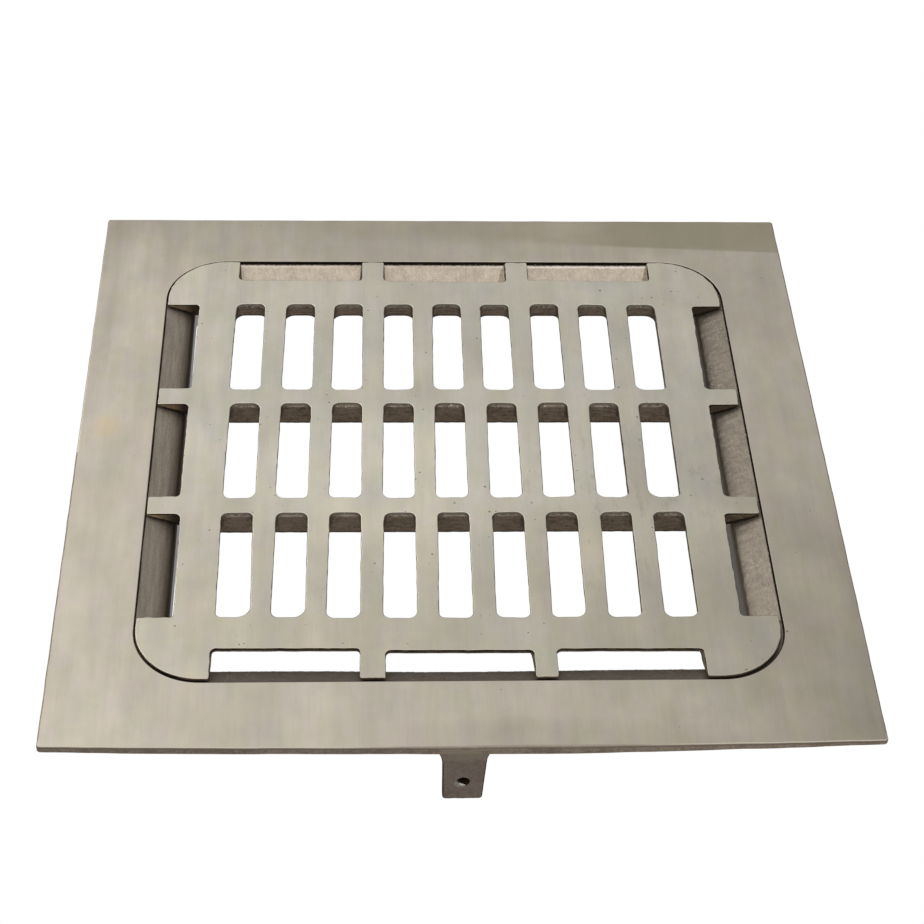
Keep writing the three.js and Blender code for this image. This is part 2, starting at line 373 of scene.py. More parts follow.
class Look:
    """A Principled material and short calls for the nodes that feed it.

    x, y and z are places on the piece in millimetres, and colour is its colour so far.
    """

    def __init__(self, name):
        self.material = bpy.data.materials.new(name)
        self.material.use_nodes = True
        self.tree = self.material.node_tree
        self.surface = self.tree.nodes["Principled BSDF"]
        coordinates = self.node("TexCoord")
        self.place = coordinates.outputs["Object"]
        self.normal = coordinates.outputs["Normal"]
        self.x, self.y, self.z = self.node("SeparateXYZ", self.scaled([1 / MM] * 3)).outputs

    def put(self, socket, value):
        if isinstance(value, bpy.types.NodeSocket):
            self.tree.links.new(value, socket)
        else:
            socket.default_value = value

    def node(self, kind, *values, **settings):
        """A new node with these settings, whose first inputs take these numbers or outputs."""
        node = self.tree.nodes.new("ShaderNode" + kind)
        for name, setting in settings.items():
            setattr(node, name, setting)
        for socket, value in zip(node.inputs, values):
            self.put(socket, value)
        return node

    def set(self, **values):
        for name, value in values.items():
            self.put(self.surface.inputs[name.replace("_", " ")], value)

    def math(self, operation, result, *others):
        """An operation on a value and each of the others in turn."""
        for other in others:
            result = self.node("Math", result, other, operation=operation).outputs[0]
        return result

    def add(self, *values):
        return self.math("ADD", *values)

    def subtract(self, a, b):
        return self.math("SUBTRACT", a, b)

    def times(self, *values):
        return self.math("MULTIPLY", *values)

    def absolute(self, value):
        return self.node("Math", value, operation="ABSOLUTE").outputs[0]

    def scaled(self, stretch, shift=0.0):
        """Places on the piece, in metres, times a number for each axis, and then shifted."""
        location = (shift, 0.7 * shift, 1.3 * shift)
        return self.node("Mapping", self.place, location, (0, 0, 0), stretch).outputs[0]

    def noise(self, size, shift=0.0, detail=2.0, roughness=0.5):
        """Noise from 0 to 1 whose features measure about size, a number or (x, y, z)."""
        place = self.scaled((1 / (np.broadcast_to(size, 3) * MM)).tolist())
        node = self.node("TexNoise", place, shift, 1.0, detail, roughness, noise_dimensions="4D")
        return node.outputs["Fac"]

    def spots(self, size, shift=0.0, dimensions="3D"):
        """Distance to the nearest of scattered points, in units of size, and its cell's colour.

        In two dimensions the points are scattered over the top face.
        """
        place = self.scaled([1 / (size * MM)] * 3, shift)
        node = self.node("TexVoronoi", place, 0.0, 1.0, voronoi_dimensions=dimensions)
        return node.outputs["Distance"], node.outputs["Color"]

    def facing(self, axis):
        """How squarely the surface faces along one axis, either way: from 0 to 1."""
        return self.absolute(self.node("SeparateXYZ", self.normal).outputs[axis])

    def map(self, value, low, high, new_low=0.0, new_high=1.0, kind="SMOOTHSTEP"):
        """Runs from new_low, where value is low, to new_high, where it is high."""
        numbers = (low, high, new_low, new_high)
        return self.node("MapRange", value, *numbers, interpolation_type=kind).outputs[0]

    def line(self, value, low, high, new_low=0.0, new_high=1.0):
        return self.map(value, low, high, new_low, new_high, kind="LINEAR")

    def mix(self, share, a, b, blend="MIX"):
        node = self.node("Mix", share, data_type="RGBA", blend_type=blend)
        for socket, colour in zip(node.inputs[6:8], (a, b)):
            self.put(socket, (*colour, 1.0) if isinstance(colour, tuple) else colour)
        return node.outputs[2]

    def paint(self, colour, *shares, blend="MIX"):
        """Covers the colour so far with another one, as far as the product of the shares."""
        share = self.times(*shares) if shares else 1.0
        self.colour = self.mix(share, self.colour, colour, blend)
        self.set(Base_Color=self.colour)

    def tint(self, colour, *shares):
        """Multiplies the colour so far by another one, as far as the product of the shares."""
        self.paint(colour, *shares, blend="MULTIPLY")

    def patch(self, x, y, reach_x, reach_y):
        """A soft-edged oval on the top face, from 0 outside to 1 in the middle."""
        across = self.math("DIVIDE", self.subtract(self.x, x), reach_x)
        along = self.math("DIVIDE", self.subtract(self.y, y), reach_y)
        return self.map(self.add(self.times(across, across), self.times(along, along)), 1.0, 0.0)

    def bump(self, height, distance, under=None):
        """Relief whose height runs from 0 to 1 over a distance, on top of the relief under it."""
        node = self.node("Bump", 1.0, distance * MM)
        self.put(node.inputs["Height"], height)
        if under is not None:
            self.put(node.inputs["Normal"], under)
        return node.outputs[0]


def brushed(name, base, cool, warm, painted_light_drift, pits, roughness, patches):
    """Satin metal with a grain along Y, soft patches of tone, and small dark casting pits.

    Its drift is painted light: the left is made lighter than the middle by this share, and the right darker,
    as if lit from the left. Each patch is (x, y, reach x, reach y, tone), a soft oval whose middle is
    multiplied by tone.
    """
    look = Look(name)
    tint = look.noise((26, 30, 30), 4, detail=3)
    cloud = look.noise((30, 34, 34), 3, detail=4, roughness=0.6)
    blush = look.noise((7, 12, 12), 18, detail=3, roughness=0.6)
    mottle = look.noise((8, 11, 11), 17, detail=4, roughness=0.6)
    fine = look.noise((0.28, 15, 15), 1, detail=3)
    broad = look.noise((2.2, 60, 60), 2, detail=3)
    long = look.noise((9, 75, 75), 12, detail=3)
    look.colour = look.mix(look.map(tint, 0.4, 0.62), base, cool)
    look.paint(warm, look.map(cloud, 0.5, 0.75, 0.0, 0.8))
    look.tint(look.mix(look.map(blush, 0.35, 0.65), (1.012, 0.99, 1.04), (0.992, 1.0, 0.965)))
    # the tone from the drift, at the end of this first list, is painted light across the face
    tones = [look.map(cloud, 0.25, 0.75, 0.91, 1.065), look.map(mottle, 0.28, 0.72, 0.97, 1.03),
             look.map(fine, 0.25, 0.75, 0.97, 1.03), look.map(broad, 0.25, 0.75, 0.975, 1.02),
             look.map(long, 0.3, 0.7, 0.955, 1.04), look.line(look.x, -150, 150, 1 + painted_light_drift, 1 - painted_light_drift)]
    tones += [look.line(look.patch(*oval), 0, 1, 1, tone) for *oval, tone in patches]
    look.tint(look.times(*tones))
    distance, cell = look.spots(4.5, shift=5, dimensions="2D")
    crowd = look.map(look.noise(28, 10), 0.40, 0.60)
    size = look.times(look.line(cell, 1 - pits, 1.0), crowd, 0.15)
    hole = look.times(look.map(look.subtract(distance, size), 0.03, -0.03), look.map(size, 0.01, 0.04))
    look.paint((0.11, 0.095, 0.075), hole, 0.6)
    smear = look.noise((5, 34, 34), 6, detail=4, roughness=0.6)
    relief = look.bump(look.noise((0.45, 26, 26), 7, detail=3), 0.006)
    relief = look.bump(look.noise((30, 44, 44), 8, detail=1), 0.25, under=relief)
    relief = look.bump(look.map(hole, 0, 1, 1, 0), 0.12, under=relief)
    look.set(Metallic=1.0, Roughness=look.map(smear, 0.25, 0.75, roughness - 0.05, roughness + 0.06),
             Normal=relief)
    return look


def cast(name, dark, light, grain, relief_depth, roughness, metallic=0.85, blotch=0.4):
    """Sand-cast skin: a mottle of two tones with grains about grain across.

    blotch is the share of the mottle that is broad.
    """
    look = Look(name)
    sand = look.noise(grain, 1, detail=3, roughness=0.6)
    patch = look.noise(grain * 9, 2, detail=3)
    mottle = look.add(look.times(sand, 1 - blotch), look.times(patch, blotch))
    look.colour = look.mix(look.map(mottle, 0.38, 0.62), dark, light)
    relief = look.bump(look.noise(grain * 1.3, 3, detail=4, roughness=0.65), relief_depth)
    look.set(Base_Color=look.colour, Metallic=metallic, Roughness=roughness, Normal=relief)
    return look


PLAIN_SKINS = {          # dark tone, light tone, grain, relief and roughness
    "cast underside": ((0.27, 0.24, 0.205), (0.42, 0.375, 0.33), 1.1, 0.12, 0.65),
    "cast grate underside": ((0.27, 0.225, 0.18), (0.44, 0.375, 0.31), 1.2, 0.12, 0.65),
    # painted shadow lines along the notch walls' top edges and feet
    "arris in painted shade": ((0.045, 0.034, 0.024), (0.10, 0.078, 0.058), 1.2, 0.03, 0.7),
    # painted shade: a dark outline on the lug's rounded edges
    "lug edge in painted shade": ((0.07, 0.056, 0.046), (0.13, 0.105, 0.088), 1.6, 0.03, 0.6),
    # the worn part of a lug's hole mouth: real wear, painted pale as if lit
    "worn hole mouth with painted light": ((0.55, 0.50, 0.46), (0.75, 0.70, 0.65), 1.2, 0.03, 0.35),
}
BLACK_SKINS = {          # dark tone and light tone
    "land in painted shade": ((0.012, 0.008, 0.005), (0.035, 0.025, 0.017)),
    "bore in painted shade": ((0.022, 0.012, 0.005), (0.05, 0.03, 0.015)),
}


def plain_skin(name):
    return cast(name, *PLAIN_SKINS[name]).material


def black_skin(name):
    """Painted shade: a near-black matt skin for a place that gets almost no light; at the land it is partly
    dirt.
    """
    look = cast(name, *BLACK_SKINS[name], 1.0, 0.05, 0.9, metallic=0.0)
    look.set(Specular_IOR_Level=0.1)
    return look.material


def flange_face_look():
    look = brushed("brushed flange", base=(0.60, 0.545, 0.445), cool=(0.585, 0.542, 0.448),
                   warm=(0.615, 0.548, 0.45), painted_light_drift=0.04, pits=0.16, roughness=0.40,
                   patches=((130, -120, 95, 130, 0.78), (0, 150, 230, 40, 0.94),
                            (-150, 30, 60, 160, 1.08), (-136, 122, 7, 42, 1.07),
                            (-126, 80, 18, 36, 1.10), (-149, 66, 9, 40, 0.93),
                            (-138, -24, 12, 20, 0.94), (25, -147, 80, 12, 0.88),
                            (150, -95, 30, 75, 0.90), (-153, 132, 20, 32, 0.88),
                            (50, 143, 50, 13, 1.10), (-72, -126, 45, 20, 1.08),
                            (78, -122, 34, 14, 1.07), (152, -150, 32, 26, 0.84),
                            (134, -74, 16, 24, 1.12), (92, -136, 22, 16, 1.11),
                            (-87, -130, 24, 22, 0.92), (132, 9, 16, 26, 0.94)))
    look.tint((1.0, 0.995, 0.972), look.map(look.x, 20, 140), look.map(look.y, 20, -120))
    # a darker strip along the back edge, strongest on the right
    edge = look.add(look.y, look.times(look.noise(50), 3), look.times(look.x, 0.055))
    blurred = look.map(look.x, 100, -20, 0.8, 7)
    strip = look.map(look.math("DIVIDE", look.subtract(edge, 137.6), blurred), -1, 1)
    uneven = look.map(look.noise((40, 25, 25), 9), 0.3, 0.6, 0.6, 1)
    look.paint((0.36, 0.32, 0.222), strip, look.map(look.x, -100, 120, 0.15, 1.0), uneven, 0.74)
    # straw-coloured heat tint
    look.paint((0.78, 0.63, 0.40), look.patch(-139, 14.5, 7, 9), look.noise(7, detail=3))
    return look.material


def flange_edge_look():
    """Brown-grey edge, painted paler at the front as if lit from there, and rubbed more olive where the lugs
    join it.
    """
    look = cast("ground edge", (0.27, 0.215, 0.17), (0.42, 0.35, 0.285), 1.4, 0.04, 0.5)
    front = look.map(look.y, -144, -148)
    # painted light: the front face is made paler, more so towards the right
    look.tint(look.add(1.0, look.times(front, look.line(look.x, -150, 150, 0.42, 0.78))))
    # painted shade darkens the front arris, and a painted highlight line stays along its top only away from
    # the lug
    look.paint((0.345, 0.293, 0.236), front, look.map(look.z, TOP - 1.2, TOP - 0.4), 0.85)
    from_lug = look.absolute(look.subtract(look.x, ARRIS_ROLLED_X))
    look.paint((0.62, 0.56, 0.46), front, look.map(from_lug, 30, 75),
               look.map(look.z, TOP - 0.16, TOP - 0.07))
    for across in (look.x, look.y):
        look.paint((0.60, 0.52, 0.40), look.map(look.absolute(across), 10.5, 6), 0.8,
                   look.map(look.z, TOP - 0.7, TOP - 1.5))
    return look.material


def seat_look():
    """Bare sandy skin at the back and right; dressed smooth, streaked and darker at the left."""
    look = cast("sand-cast seat", (0.475, 0.405, 0.328), (0.64, 0.55, 0.44), 0.55, 0.08, 0.5, blotch=0.38)
    streaks = look.noise((0.5, 3.5, 3.5), 10, detail=3, roughness=0.6)
    # painted shade: the right side is darkened, most towards the back
    darker = look.subtract(look.line(look.y, 90, -90, 0.50, 0.62), 1.0)
    shade = look.add(look.times(look.map(look.x, 104, 108), darker), 1.0)
    look.tint(look.times(shade, look.map(streaks, 0.3, 0.7, 0.9, 1.08)))
    bare = look.colour
    lines = look.noise((0.8, 12, 12), 9, detail=4, roughness=0.6)
    grit = look.noise(0.7, 13, detail=3, roughness=0.6)
    lines = look.add(look.times(lines, 0.55), look.times(grit, 0.45))
    look.colour = look.mix(look.map(lines, 0.33, 0.68), (0.31, 0.26, 0.205), (0.46, 0.40, 0.335))
    look.tint(look.line(look.y, 90, -90, 1.0, 0.84))
    # painted shade where the dressed left slope rounds down into the lip under the grate
    look.paint((0.085, 0.065, 0.045), look.map(look.x, -114.8, -108.5), 0.85)
    dressed, look.colour = look.colour, bare
    look.paint(dressed, look.map(look.x, -104, -108.5), look.map(look.y, 103, 97))
    # painted shade on the front side of the seat, which faces away from the light
    look.paint((0.115, 0.095, 0.08), look.map(look.y, -101, -108), 0.72)
    # painted shade, partly scale, in the corner below the land, ragged at the back, with a painted highlight
    # line under it there
    ragged = look.map(look.noise(1.2, 14, detail=3, roughness=0.6), 0.3, 0.7, 0.14, 0.27)
    back = look.map(look.y, 110, 113)
    below = look.subtract(LAND_FOOT, look.z)
    beyond = look.subtract(below, look.add(look.times(back, ragged), 0.12))
    painted_highlight_line = look.map(look.absolute(look.subtract(beyond, 0.28)), 0.26, 0.08)
    worn = look.times(look.map(look.noise(14, 15), 0.35, 0.6), 0.5)
    worn = look.math("MAXIMUM", worn, look.map(look.x, 12, 30))
    look.paint((0.95, 0.86, 0.79), painted_highlight_line, worn, back, 0.7)
    look.paint((0.085, 0.065, 0.045), look.map(beyond, 0.16, -0.16))
    look.paint((0.018, 0.013, 0.009), look.map(below, 0.3, 0.1))
    # painted glints of light on the grains
    distance, cell = look.spots(0.9, shift=7)
    glint = look.times(look.map(distance, 0.42, 0.25), look.map(cell, 0.62, 0.9))
    look.paint((0.92, 0.86, 0.74), glint, look.map(look.noise(12, 8), 0.35, 0.65),
               look.map(look.x, -104, -95, 0.12, 0.4))
    return look.material


def throat_look():
    """The throat wall: painted light makes it bright and bluish at the left, like a reflection of the pale
    floor; it is darker elsewhere.
    """
    look = cast("throat with painted light", (0.80, 0.80, 0.84), (0.90, 0.90, 0.95), 2.0, 0.02, 0.3, 1.0)
    look.paint((0.20, 0.18, 0.17), look.map(look.x, -106, -100))
    return look.material


def grate_face_look():
    look = brushed("brushed grate", base=(0.63, 0.59, 0.49), cool=(0.615, 0.595, 0.505),
                   warm=(0.645, 0.583, 0.478), painted_light_drift=0.08, pits=0.34, roughness=0.38,
                   patches=((110, -105, 75, 75, 0.86), (0, 120, 260, 150, 1.11),
                            (0, -110, 200, 60, 0.94), (-18, -14, 88, 46, 1.18),
                            (25, 75, 75, 26, 0.94), (-105, -8, 22, 42, 1.09),
                            (86, 2, 26, 50, 0.93), (115, -25, 18, 16, 0.80)))
    look.tint((1.0, 0.983, 0.95), look.map(look.y, 20, -90))
    # grey smears left by use, mostly on the right of the front half
    smear = look.noise((5, 11, 11), 16, detail=5, roughness=0.7)
    look.paint((0.37, 0.35, 0.275), look.map(smear, 0.52, 0.68), look.patch(68, -35, 62, 75), 0.5)
    return look.material


def grate_wall_look():
    """Brown cast walls of the notches."""
    look = cast("cast grate wall", (0.25, 0.19, 0.13), (0.46, 0.37, 0.27), 1.2, 0.10, 0.6)
    # at the left, rust, with pale tips and painted shade further in
    rust = look.map(look.noise((5, 5, 3), 5, detail=3), 0.45, 0.65)
    look.paint((0.55, 0.37, 0.20), rust, look.map(look.x, -90, -105, 0.0, 0.6))
    look.paint((0.78, 0.60, 0.40), look.map(look.x, -112.5, -116.5), look.map(look.y, 60, -30), 0.85)
    end_wall = look.map(look.facing("Y"), 0.4, 0.8)
    look.paint((0.05, 0.04, 0.03), end_wall, look.map(look.x, -113.5, -108.5),
               look.map(look.x, -100, -104), 0.85)
    # painted shade at the right, strongest at the rear, and at the rear left, and painted glints speckled at
    # the rear right
    look.paint((0.09, 0.072, 0.055), look.map(look.x, 95, 105), look.map(look.y, -90, 90), 0.85)
    rear = look.map(look.y, 100, 104)
    look.paint((0.07, 0.055, 0.04), rear, look.map(look.x, -20, -40), 0.85)
    glint_speckle = look.map(look.noise(1.0, 6), 0.4, 0.6, 0.3, 0.9)
    look.paint((0.62, 0.555, 0.46), rear, look.map(look.x, 10, 20), glint_speckle)
    return look.material


def slot_wall_look(foot=GRATE_FOOT, everywhere=False):
    """Slot walls: painted shade at the lip and down the side walls, a paler rubbed margin below the lip with
    painted glints, and painted shade at the foot.

    The plate's walls get the painted shade at the foot only at the back, where no rib carries them on
    downwards.
    """
    look = cast("cast slot wall", (0.20, 0.15, 0.11), (0.40, 0.32, 0.245), 1.2, 0.10, 0.6)
    streak = look.noise((7, 7, 0.7), 11, detail=4, roughness=0.6)
    look.paint((0.47, 0.385, 0.29), look.map(streak, 0.42, 0.66, 0, 0.8))
    depth = look.subtract(TOP, look.z)
    reach = look.map(look.noise((2.4, 2.4, 1.2), 5, detail=4, roughness=0.65), 0.35, 0.65, 0.6, 2.4)
    look.paint((0.58, 0.53, 0.455), look.map(look.subtract(depth, reach), 0.2, -0.2), 0.7)
    # painted glints of light below the top edge
    distance, cell = look.spots(1.3, shift=6)
    look.paint((1.0, 0.96, 0.86), look.map(distance, 0.34, 0.2), look.map(cell, 0.55, 0.75),
               look.map(depth, 3.0, 1.8), 0.8)
    # painted shade at the lip and down the side walls near the corners
    side = look.facing("X")
    look.paint((0.14, 0.115, 0.09), look.map(depth, 0.75, 0.45), look.map(side, 0.1, 0.5, 0.35, 0.7))
    look.paint((0.10, 0.075, 0.055), look.map(side, 0.45, 0.95), look.map(depth, 0.4, 0.9), 0.75)
    # painted shade at the foot
    painted_shade_foot = [look.map(look.z, foot + 1.3, foot + 0.2), 0.8]
    if not everywhere:
        painted_shade_foot.append(look.map(look.y, 70, 80))
    look.paint((0.055, 0.042, 0.032), *painted_shade_foot)
    return look.material


def lug_look():
    """Dressed brown-grey faces, paler and more olive where the lug was blended into the flange."""
    look = cast("dressed lug", (0.34, 0.275, 0.23), (0.46, 0.385, 0.33), 1.6, 0.04, 0.5)
    look.paint((0.62, 0.54, 0.41), look.map(look.z, TOP - 8.5, TOP - 6.5), look.noise(9, 4), 0.9)
    return look.material


# ---- Grate --------------------------------------------------------------------------------

EDGE = 0.32              # rounding of the grate's outer top edges
SLOT_EDGE = 0.4          # the slots' top edges are eased more
FOOT_EDGE = 0.22         # rounding below
TOP_LENGTH = 0.12        # a slot is this much longer at the top, at each end
PLACE_ERROR = 0.1        # a slot's usual distance off its place
SLOT_DRAFT = 0.75        # a slot's sides lean out this much towards its foot
SLOT_TAPER = 0.3         # a slot's left side leans this much to the right at its rear end
PATTERN_SHIFT = np.array([-0.35, 0.08])
ROWS = np.array([-1, 0, 1])
slot_wander = Field(9)
wall_relief = Field(1.3, stretch=(1.6, 1.6, 1))
foot_relief = Field(5)

NOTCH_CASTING = {        # how far off a side's notches are: starts, ends, and rims (or a rim's two ends)
    "right": (-0.4, -0.4, (-0.7, 0.3, -0.2)),
    "rear": (-0.25, -0.25, (0.8, -0.5, -0.3)),
    "left": (-0.2, -0.2, (0.0, 0.6, (-0.2, -1.1))),
    "front": ((-1.65, -0.95, -1.25), (-0.65, 0.05, -0.4), (-0.9, 0.0, -0.8)),
}
SLOT_CASTING = {         # (row, column): the rear end's shift, the front end's shift, lost length
    (1, -4): (0.15, 0.1, 0.1), (1, -3): (0.3, 0.35, 0.1), (1, -1): (0.3, 0.35, 0.1),
    (1, 1): (-0.3, -0.15, 0.0), (0, -4): (0.25, 0.45, 0.0), (0, 4): (-0.15, -0.45, 0.0),
    (-1, -4): (-0.1, 1.0, 0.75), (-1, -3): (0.1, 0.3, 0.6), (-1, 3): (0.15, -0.25, 0.0),
}
BROAD_CORNERS = {        # (row, column): which corner, anticlockwise from the rear right, and its radius
    (1, 4): (2, 4.0), (0, 3): (2, 3.8), (0, 4): (2, 5.0), (-1, 4): (2, 3.4),
    (0, -4): (3, 4.0), (-1, -4): (3, 5.4), (-1, -3): (3, 4.6), (-1, -2): (3, 3.8),
}


def wall_rough(size, flat, z, share):
    """Cast relief of a wall that stands at flat and z, less at its very top."""
    return size * wall_relief(np.column_stack([flat, z])) * math.sin(math.pi * min(share, 0.5))


def grate_slope(points):
    """Height of the underside: flat, then rising to the thin outer edge of tabs and corners."""
    over = np.abs(points[:, :2]) - (GRATE_HALF - GRATE_RADIUS)
    outer = np.linalg.norm(np.clip(over, 0, None), axis=1) + np.minimum(over.max(axis=1), 0) - GRATE_RADIUS
    return np.maximum(GRATE_FOOT, TOP - TAB_EDGE + SEAT_SLOPE * outer)


def grate_outline():
    """The grate with its three notches a side, anticlockwise from the front right."""
    corners = []
    for quarter, (early, late, rims) in enumerate(NOTCH_CASTING.values()):
        c, s = round(math.cos(quarter * math.pi / 2)), round(math.sin(quarter * math.pi / 2))
        side = [(GRATE_HALF, -GRATE_HALF, GRATE_RADIUS)]
        starts = ROW_PITCH * ROWS - NOTCH_LENGTH / 2 + early
        ends = ROW_PITCH * ROWS + NOTCH_LENGTH / 2 + late
        for start, end, rim in zip(starts, ends, rims):
            rim_start, rim_end = RIM_HALF + np.broadcast_to(rim, 2) + CAST_TWIST * np.array((start, end))
            outer_radius, inner_radius = random.uniform(0.65, 0.95, 2), random.uniform(1.2, 2.4, 2)
            side += [(GRATE_HALF, start, outer_radius[0]), (rim_start, start, inner_radius[0]),
                     (rim_end, end, inner_radius[1]), (GRATE_HALF, end, outer_radius[1])]
        corners += [(c * x - s * y, s * x + c * y, radius) for x, y, radius in side]
    return rounded_outline(corners, 1.4)


def slot_outline(half_width, half_length, radii):
    """A slot with its own radius at each corner, and always the same count of points."""
    return fixed_outline(half_width, half_length, radii, 6, (4, 20, 4, 20))


def add_slot(solid, row, column):
    """One slot's wall, from its eased top edge down to a wider, rougher foot."""
    x, y = column * SLOT_PITCH, row * ROW_PITCH
    rear_shift, front_shift, lost = SLOT_CASTING.get((row, column), (0, 0, 0))
    top_radii = random.uniform(2.2, 3.4, 4)
    foot_radii = top_radii + random.uniform(-0.3, 1.6, 4)
    if (row, column) in BROAD_CORNERS:
        corner, radius = BROAD_CORNERS[row, column]
        top_radii[corner], foot_radii[corner] = radius, radius + 0.5
    half_width, half_length = SLOT_WIDTH / 2, SLOT_LENGTH / 2
    upper = slot_outline(half_width, half_length + TOP_LENGTH, top_radii)
    upper += random.normal(0, PLACE_ERROR, 2)
    lower = slot_outline(half_width + SLOT_DRAFT, half_length, foot_radii)
    for outline in (upper, lower):
        left = outline[:, 0] < 0
        outline[left, 0] += SLOT_TAPER * outline[left, 1] / half_length
        forward = (half_length - outline[:, 1]) / (2 * half_length)
        outline[:, 0] += rear_shift + (front_shift - rear_shift) * forward
        outline[:, 1] += lost * forward
        outline[:, 0] += 0.8 * CAST_TWIST * (outline[:, 1] + y)
        outline += PATTERN_SHIFT + (x, y)
    out = outward(upper)
    upper = upper + out * (0.05 * slot_wander(upper))[:, None]
    edge = np.clip(SLOT_EDGE * (1 + 0.3 * slot_wander(upper * 2.1 + 50)), 0.25, 0.7)
    rings = solid.eased_top(upper, -out, edge)
    start = TOP - edge
    for share in (0.1, 0.25, 0.42, 0.6, 0.8, 1.0):
        ring = upper + (lower - upper) * share
        z = start + (GRATE_FOOT + FOOT_EDGE - start) * share
        rings.append(solid.ring(ring + out * wall_rough(0.04, ring, z, share)[:, None], z))
    rings += solid.eased_foot(lower, -outward(lower), FOOT_EDGE, lambda place: GRATE_FOOT)
    solid.wall(rings[:2], 0, hole=True)
    solid.wall(rings[1:], 2, hole=True)
    return rings[0], rings[-1]


def rear_flare(outline):
    """How far in X the rear notches' end walls lean into the notch per millimetre of depth."""
    x, y = outline[:, 0], outline[:, 1]
    rear = (np.abs(x) < NOTCHES_HALF) & (y > RIM_HALF - 2)
    inside_tip = smoothstep(GRATE_HALF, GRATE_HALF - 1.5, y)
    along = x - ROW_PITCH * np.round(x / ROW_PITCH)
    near_end = smoothstep(14, 3, NOTCH_LENGTH / 2 - np.abs(along))
    lean = np.where(along > 0, -np.interp(x, (-50, 20, 50, 80), (0.12, 0.68, 0.68, 0.5)), 0.14)
    return rear * inside_tip * near_end * lean


def add_grate_edge(solid):
    """The grate's outside: tabs and corners wedge thin, and the rim undercut in each notch."""
    outline = grate_outline()
    out = outward(outline)
    outline = outline + out * (0.04 * slot_wander(outline + 300))[:, None]
    reach = np.abs(outline).max(axis=1)
    side = np.sign(outline) * (np.abs(outline).argmax(axis=1)[:, None] == (0, 1))
    at_rim = smoothstep(RIM_HALF + 2.4, RIM_HALF + 0.3, reach)
    foot = grate_slope(outline)
    edge = np.clip(EDGE * (1 + 0.4 * slot_wander(outline * 2.3 + 90)), 0.15, 0.5)
    foot_edge = np.clip((TOP - foot) * 0.3, 0.1, FOOT_EDGE)
    rings = solid.eased_top(outline, out, edge)
    start = TOP - edge
    for share in (0.07, 0.3, 0.5, 0.78, 1.0):
        z = start + (foot + foot_edge - start) * share
        under = at_rim * np.clip(TOP - z - RIM_WALL, 0, None)
        moved = outline - side * under[:, None] + out * wall_rough(0.03, outline, z, share)[:, None]
        moved[:, 0] += rear_flare(outline) * (TOP - z)
        rings.append(solid.ring(moved, z))
    rings += solid.eased_foot(solid.flat(rings[-1]), out, foot_edge, grate_slope)
    # in the notches the eased top edge and the foot take the near-black skin: painted shadow lines
    in_notch = (reach < GRATE_HALF - 0.4) & (np.abs(outline).min(axis=1) < NOTCHES_HALF)
    solid.wall(rings[:2], 0)
    solid.wall(rings[1:5], np.where(in_notch, 3, 1))
    solid.wall(rings[4:8], 1)
    solid.wall(rings[7:], np.where(in_notch & (outline[:, 1] < RIM_HALF - 3), 3, 1))
    return rings[0], rings[-1]


def make_grate(looks):
    solid = Solid()
    top_edge, foot_edge = add_grate_edge(solid)
    slots = [add_slot(solid, row, column) for row in ROWS for column in range(-4, 5)]
    tops, feet = zip(*slots)
    solid.cap(top_edge, tops, up=True, look=0)
    extent = np.array([(-GRATE_HALF, -GRATE_HALF), (GRATE_HALF, GRATE_HALF)])
    solid.rough_cap(foot_edge, feet, False, 4, extent, spacing=2.6, gap=0.9,
                    height=lambda p: grate_slope(p) + 0.1 * foot_relief(p) - 0.05)
    return solid.build("grate", looks, place=lambda p: p + (GRATE_X, GRATE_Y, 0))


def make_rib(name, wall):
    """A deep rib below a bar: it reaches up inside the bar, and its sides lean in towards its foot."""
    box = RIBS[name]
    half_length, half_width, depth = box.size / (2, 2, 1)
    foot = box.low[2]
    relief = Field(1.4, stretch=(2.5, 1, 1))
    solid = Solid()
    rings = []
    pattern = None
    sections = [(TOP - below, 0, 0.04) for below in (1.4, 3, 4.6)]
    sections.append((box.high[2], 0, 0.03))
    sections += [(foot + share * depth, (1 - share) * depth, lean)
                 for share, lean in ((0.8, 0.0), (0.55, -0.02), (0.3, -0.04))]
    sections += [(foot + above, depth - in_by, lean)
                 for above, in_by, lean in ((0.26, 0.26, -0.06), (0.08, 0.12, -0.12), (0, -0.14, -0.3))]
    for z, shorter, lean in sections:        # shorter at each end, and leaning out each side
        half_y = half_width + lean
        ring = rectangle(half_length - shorter, -half_y, half_y, 0.6, 400)
        pattern = ring if pattern is None else pattern
        points = subdivided(ring, 1.2, pattern)
        rough = 0.05 * relief(np.column_stack([points, np.full(len(points), z)]))
        rings.append(solid.ring(points + outward(points) * np.minimum(rough, 0.05)[:, None], z))
    solid.wall(rings)
    solid.cap(rings[0], [], up=True)
    solid.cap(rings[-1], [], up=False)
    return solid.build(name + "_cast", [wall], place=lambda p: p + (*box.middle[:2], 0))


def subdivided(ring, step, pattern):
    """Extra points along the long stretches of a ring, as many as its pattern ring needs."""
    gaps = np.linalg.norm(np.roll(pattern, -1, axis=0) - pattern, axis=1)
    out = []
    for start, run, gap in zip(ring, np.roll(ring, -1, axis=0) - ring, gaps):
        pieces = max(1, round(gap / step))
        out.append(start + run * (np.arange(pieces) / pieces)[:, None])
    return np.concatenate(out)


# ---- Frame --------------------------------------------------------------------------------

